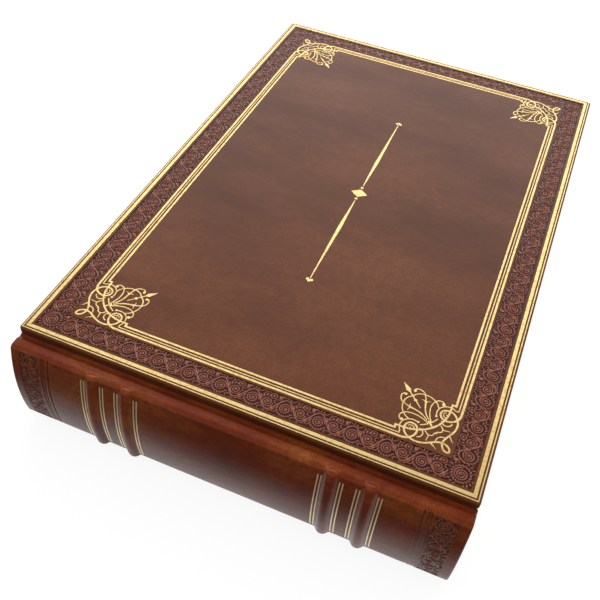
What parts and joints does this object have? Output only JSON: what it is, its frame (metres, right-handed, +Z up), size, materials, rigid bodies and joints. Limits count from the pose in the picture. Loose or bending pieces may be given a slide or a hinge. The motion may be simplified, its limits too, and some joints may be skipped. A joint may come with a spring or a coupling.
{
  "type": "guest book",
  "caption": "Landscape guest book in brown leather: rounded spine with raised bands, gold frame lines and corner ornaments, stamped scroll border, and covers that open.",
  "frame": {"origin": "on the table under the middle of the book's box, with the book lying closed on its back cover", "axes": "+X from the spine to the fore edge, +Y from tail to head, +Z up out of the front cover"},
  "size_m": [0.3226, 0.206, 0.0561],
  "materials": {
    "cover_leather": "fine grain, polished, semi-gloss",
    "spine_leather": "smooth, polished, mottled at the joints",
    "gold": "gold leaf, polished",
    "page_paper": "matt cream",
    "endpaper": "matt, plain",
    "card": "matt grey-brown",
    "lining_cloth": "woven, matt",
    "endband_silk": "silk thread, striped with cream"
  },
  "bodies": {
    "book_block": {"text_block": "page_paper", "front_flyleaf": "page_paper", "back_flyleaf": "page_paper", "sewing_tapes": "lining_cloth", "mull": "lining_cloth", "head_band": "endband_silk", "tail_band": "endband_silk", "spine_liner": "card", "raised_band_1": "card", "raised_band_2": "card", "raised_band_3": "card", "raised_band_4": "card", "spine_leather": "spine_leather", "spine_gilt": "gold"},
    "front_cover": {"front_board": "card", "front_leather": "cover_leather", "front_pastedown": "endpaper", "gilt_edge_line": "gold", "gilt_border": "gold", "gilt_inner_frame": "gold", "gilt_corner_1": "gold", "gilt_corner_2": "gold", "gilt_corner_3": "gold", "gilt_corner_4": "gold", "gilt_centre_rule": "gold"},
    "back_cover": {"back_board": "card", "back_leather": "cover_leather", "back_pastedown": "endpaper"}
  },
  "joints": [
    {"name": "front_cover_hinge", "type": "hinge", "parent": "book_block", "child": "front_cover", "pos_m": [-0.15445, 0, 0.05215], "axis": [0, -1, 0], "range_deg": [0, 180]},
    {"name": "back_cover_hinge", "type": "hinge", "parent": "book_block", "child": "back_cover", "pos_m": [-0.15445, 0, 0.00385], "axis": [0, 1, 0], "range_deg": [0, 180]}
  ]
}
